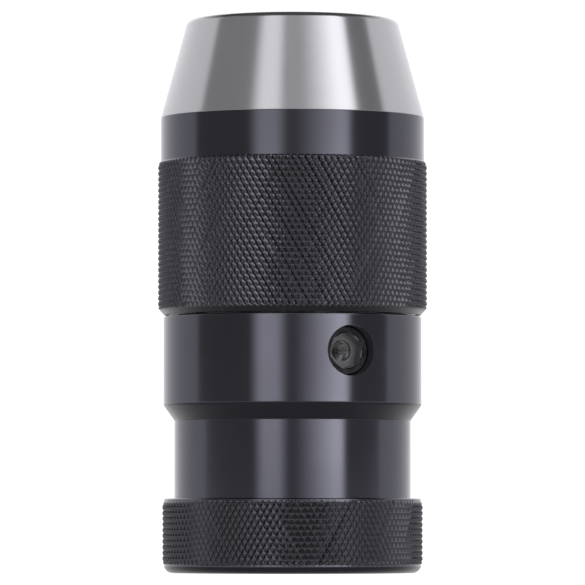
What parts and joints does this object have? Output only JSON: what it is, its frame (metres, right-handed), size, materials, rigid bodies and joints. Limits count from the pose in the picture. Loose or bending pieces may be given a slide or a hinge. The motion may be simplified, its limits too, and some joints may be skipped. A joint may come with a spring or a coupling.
{
  "type": "drill chuck",
  "caption": "Keyless drill chuck with a ground nose cone, diamond-knurled sleeve and grip ring, taper socket and hexagon-key bevel drive; turning the sleeve feeds the jaws.",
  "frame": {"origin": "centre of the rear face, on the chuck's axis", "axes": "+Z along the axis from the taper socket to the nose; -Y from the axis towards the pinion's key hole"},
  "size_m": [0.057, 0.057, 0.1172],
  "materials": {
    "black_oxide_steel": "smooth black oxide, satin",
    "black_knurled_steel": "black oxide over a diamond knurl",
    "ground_steel": "fine ground, bright",
    "jaw_steel": "hardened and ground",
    "hardened_steel": "machined and hardened",
    "bearing_steel": "polished",
    "brass": "machined"
  },
  "bodies": {
    "chuck_body": {"body": "black_oxide_steel", "grip_ring": "black_knurled_steel", "bearing_nut": "hardened_steel", "bearing_nut_pin": "hardened_steel", "pinion_pins": "hardened_steel", "front_race": "bearing_steel"},
    "sleeve": {"nose_cone": "ground_steel", "knurled_sleeve": "black_knurled_steel", "jaw_guide": "hardened_steel", "guide_pins": "hardened_steel", "gear_ring": "hardened_steel", "gear_ring_pins": "hardened_steel", "rear_race": "bearing_steel"},
    "spindle": {"spindle": "hardened_steel"},
    "jaw_1": {"jaw_1": "jaw_steel"},
    "jaw_2": {"jaw_2": "jaw_steel"},
    "jaw_3": {"jaw_3": "jaw_steel"},
    "ball_set": {"ball_cage": "brass", "bearing_balls": "bearing_steel"},
    "pinion": {"pinion": "hardened_steel"}
  },
  "joints": [
    {"name": "sleeve_turn", "type": "hinge", "parent": "chuck_body", "child": "sleeve", "pos_m": [0, 0, 0.07], "axis": [0, 0, -1], "range_deg": [0, 1584]},
    {"name": "spindle_feed", "type": "slide", "parent": "sleeve", "child": "spindle", "axis": [0, 0, 1], "range_m": [0, 0.022]},
    {"name": "jaw_1_slide", "type": "slide", "parent": "sleeve", "child": "jaw_1", "axis": [0, -0.342, 0.9397], "range_m": [0, 0.02341]},
    {"name": "jaw_2_slide", "type": "slide", "parent": "sleeve", "child": "jaw_2", "axis": [0.2962, 0.171, 0.9397], "range_m": [0, 0.02341]},
    {"name": "jaw_3_slide", "type": "slide", "parent": "sleeve", "child": "jaw_3", "axis": [-0.2962, 0.171, 0.9397], "range_m": [0, 0.02341]},
    {"name": "ball_set_turn", "type": "hinge", "parent": "chuck_body", "child": "ball_set", "pos_m": [0, 0, 0.0646], "axis": [0, 0, -1], "range_deg": [0, 792]},
    {"name": "pinion_turn", "type": "hinge", "parent": "chuck_body", "child": "pinion", "pos_m": [0, -0.022, 0.0464], "axis": [0, -1, 0], "range_deg": [0, 7920]}
  ],
  "couplings": [
    {"joint": "spindle_feed", "follows": "sleeve_turn", "m_per_rad": 0.00079577},
    {"joint": "jaw_1_slide", "follows": "sleeve_turn", "m_per_rad": 0.00084684},
    {"joint": "jaw_2_slide", "follows": "sleeve_turn", "m_per_rad": 0.00084684},
    {"joint": "jaw_3_slide", "follows": "sleeve_turn", "m_per_rad": 0.00084684},
    {"joint": "ball_set_turn", "follows": "sleeve_turn", "ratio": 0.5},
    {"joint": "pinion_turn", "follows": "sleeve_turn", "ratio": 5}
  ]
}
